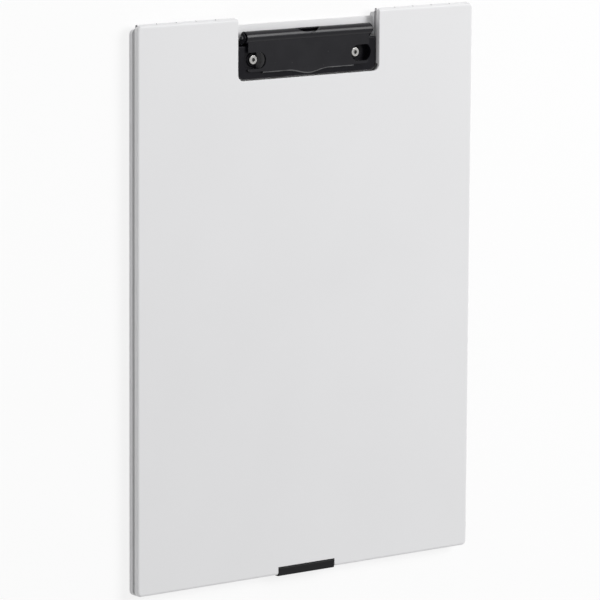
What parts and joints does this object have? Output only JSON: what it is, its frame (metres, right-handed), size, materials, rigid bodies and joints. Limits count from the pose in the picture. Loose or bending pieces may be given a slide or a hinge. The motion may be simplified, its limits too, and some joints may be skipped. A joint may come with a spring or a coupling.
{
  "type": "storage clipboard",
  "caption": "Slim white storage clipboard: hinged cover over a writing board, with a black low-profile clip in a notch at the top and a swing latch at the bottom.",
  "frame": {"origin": "middle of the case's underside, on the surface it lies on", "axes": "+Y up the sheet towards the clip, +Z out of the front cover, +X to the right as the cover is seen"},
  "size_m": [0.2434, 0.3305, 0.0101],
  "materials": {
    "case_plastic": "white, fine moulded texture",
    "board_plastic": "white, smooth",
    "latch_plastic": "black, satin",
    "clip_paint": "black, semi-gloss enamel",
    "rivet_nickel": "bright nickel plate",
    "pin_steel": "drawn steel",
    "spring_steel": "spring wire"
  },
  "bodies": {
    "base": {"back_shell": "case_plastic", "writing_board": "board_plastic", "hinge_pin_left": "pin_steel", "hinge_pin_right": "pin_steel", "clip_base_plate": "clip_paint", "clip_pivot_rod": "pin_steel", "clip_spring_left": "spring_steel", "clip_spring_right": "spring_steel", "clip_rivet_left": "rivet_nickel", "clip_rivet_right": "rivet_nickel", "rivet_washer_left": "rivet_nickel", "rivet_washer_right": "rivet_nickel"},
    "cover": {"front_cover": "case_plastic", "latch_pin": "pin_steel"},
    "jaw": {"clip_press_plate": "clip_paint"},
    "latch": {"latch": "latch_plastic"}
  },
  "joints": [
    {"name": "cover_hinge", "type": "hinge", "parent": "base", "child": "cover", "pos_m": [0, 0.1635, 0.0051], "axis": [-1, 0, 0], "range_deg": [0, 180]},
    {"name": "clip_jaw", "type": "hinge", "parent": "base", "child": "jaw", "pos_m": [0, 0.1532, 0.0066], "axis": [-1, 0, 0], "range_deg": [0, 50], "stiffness_Nm_per_rad": 0.3, "springref_deg": -45.84, "deforming": ["clip_spring_left", "clip_spring_right"]},
    {"name": "latch_swing", "type": "hinge", "parent": "cover", "child": "latch", "pos_m": [0, -0.1614, 0.00815], "axis": [-1, 0, 0], "range_deg": [0, 100]}
  ]
}
